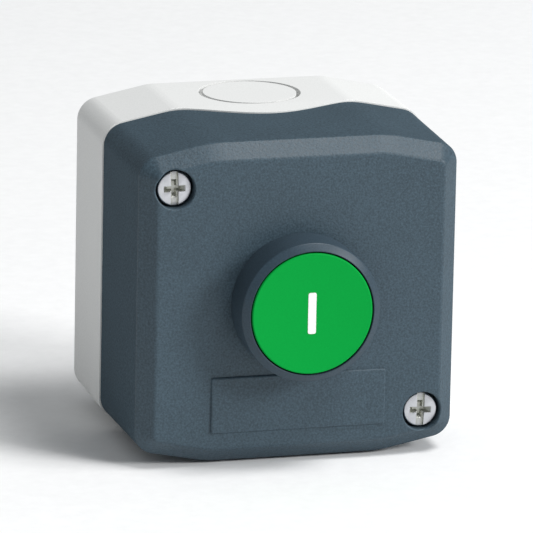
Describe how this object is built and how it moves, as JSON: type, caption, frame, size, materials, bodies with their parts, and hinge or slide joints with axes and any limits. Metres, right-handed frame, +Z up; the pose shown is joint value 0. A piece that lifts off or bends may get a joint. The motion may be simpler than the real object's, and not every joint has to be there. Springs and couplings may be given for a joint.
{
  "type": "one-button wall station",
  "caption": "Wall-mounted plastic station with a flush green start push button, two-part bevelled case and a normally open contact inside.",
  "frame": {"origin": "centre of the flat back face that sits on the wall", "axes": "+X to the right as seen by the user, -Y out of the wall along the button axis towards the user, +Z up"},
  "size_m": [0.068, 0.0623, 0.068],
  "materials": {
    "base_plastic": "light grey moulded plastic, fine matt grain",
    "cover_plastic": "dark slate grey moulded plastic, fine spark-eroded grain",
    "bezel_plastic": "near-black slate plastic, satin",
    "cap_plastic": "green moulded plastic, satin",
    "symbol_plastic": "white inlay, satin",
    "plunger_plastic": "natural grey nylon",
    "nut_plastic": "black glass-filled plastic",
    "block_plastic": "black moulded plastic",
    "follower_plastic": "green nylon",
    "seal_rubber": "soft black rubber",
    "zinc_steel": "bright zinc-plated steel",
    "spring_steel": "drawn spring wire",
    "insert_brass": "turned brass",
    "contact_copper": "rolled copper alloy strip",
    "tip_silver": "silver alloy contact tips"
  },
  "bodies": {
    "case": {"base_housing": "base_plastic", "front_cover": "cover_plastic", "cover_gasket": "seal_rubber", "cover_screws": "zinc_steel", "screw_seal_rings": "seal_rubber", "threaded_inserts": "insert_brass", "bezel_body": "bezel_plastic", "head_gasket": "seal_rubber", "fixing_nut": "nut_plastic", "lip_seal": "seal_rubber", "button_return_spring": "spring_steel", "contact_block_body": "block_plastic", "contact_block_cover": "block_plastic", "contact_return_spring": "spring_steel", "fixed_contact_upper": "contact_copper", "fixed_contact_lower": "contact_copper", "fixed_contact_tips": "tip_silver", "terminal_clamps": "zinc_steel", "terminal_screws": "zinc_steel"},
    "button": {"button_cap": "cap_plastic", "cap_symbol": "symbol_plastic", "button_plunger": "plunger_plastic", "stem_clip": "spring_steel"},
    "follower": {"contact_plunger": "follower_plastic", "contact_pressure_spring": "spring_steel"},
    "bridge": {"contact_bridge": "contact_copper", "bridge_tips": "tip_silver"}
  },
  "joints": [
    {"name": "button_press", "type": "slide", "parent": "case", "child": "button", "axis": [0, 1, 0], "range_m": [0, 0.0043], "stiffness_N_per_m": 400, "springref_m": -0.0055, "deforming": ["button_return_spring"]},
    {"name": "follower_travel", "type": "slide", "parent": "case", "child": "follower", "axis": [0, 1, 0], "range_m": [0, 0.0043], "stiffness_N_per_m": 120, "springref_m": -0.004, "deforming": ["contact_return_spring"]},
    {"name": "bridge_travel", "type": "slide", "parent": "case", "child": "bridge", "axis": [0, 1, 0], "range_m": [0, 0.0026], "deforming": ["contact_pressure_spring"]}
  ],
  "couplings": [
    {"joint": "follower_travel", "follows": "button_press", "ratio": 1},
    {"joint": "bridge_travel", "follows": "button_press", "ratio": 0.6046}
  ]
}
